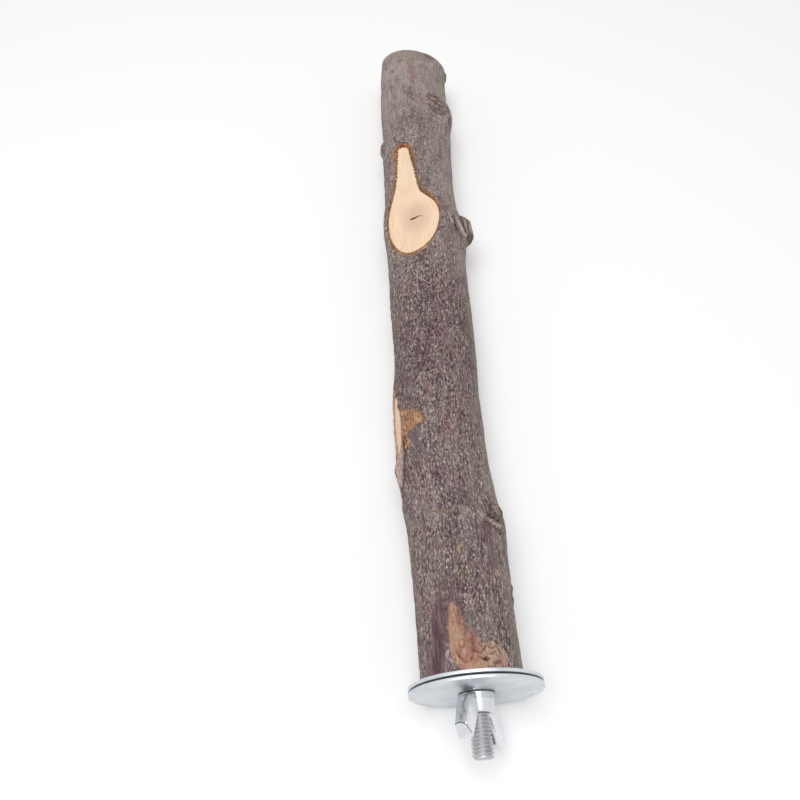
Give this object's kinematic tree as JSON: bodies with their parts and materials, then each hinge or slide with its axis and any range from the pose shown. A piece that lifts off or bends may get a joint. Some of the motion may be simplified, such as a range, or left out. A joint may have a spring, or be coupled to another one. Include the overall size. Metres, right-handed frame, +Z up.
{
  "type": "clamp-on bird perch",
  "caption": "Natural branch perch with its bark on, and a threaded stud with large washers and a wing nut that clamp it to cage bars.",
  "frame": {"origin": "on the stud's axis, at the clamping face of the inner washer", "axes": "-Y along the stud to its free end, +Y along the branch, +Z up as the perch lies on a table on its washers' rims and its far end"},
  "size_m": [0.038, 0.299, 0.038],
  "materials": {
    "wood": "bare sawn wood",
    "bark": "rough bark, untreated",
    "stud": "dull zinc plate on rolled thread",
    "washer": "satin zinc plate",
    "wing_nut": "bright zinc plate"
  },
  "bodies": {
    "perch": {"branch_core": "wood", "bark": "bark", "hanger_bolt": "stud"},
    "inner_washer": {"inner_washer": "washer"},
    "outer_washer": {"outer_washer": "washer"},
    "wing_nut": {"wing_nut": "wing_nut"}
  },
  "joints": [
    {"name": "inner_washer_spin", "type": "hinge", "parent": "perch", "child": "inner_washer", "pos_m": [0, 0, 0], "axis": [0, -1, 0], "continuous": true},
    {"name": "outer_washer_slide", "type": "slide", "parent": "perch", "child": "outer_washer", "axis": [0, -1, 0], "range_m": [-0.00041, 0.00981]},
    {"name": "nut_spin", "type": "hinge", "parent": "outer_washer", "child": "wing_nut", "pos_m": [0, -0.0015, 0], "axis": [0, -1, 0], "range_deg": [-144, 3528]}
  ],
  "couplings": [
    {"joint": "outer_washer_slide", "follows": "nut_spin", "m_per_rad": 0.00015915}
  ]
}
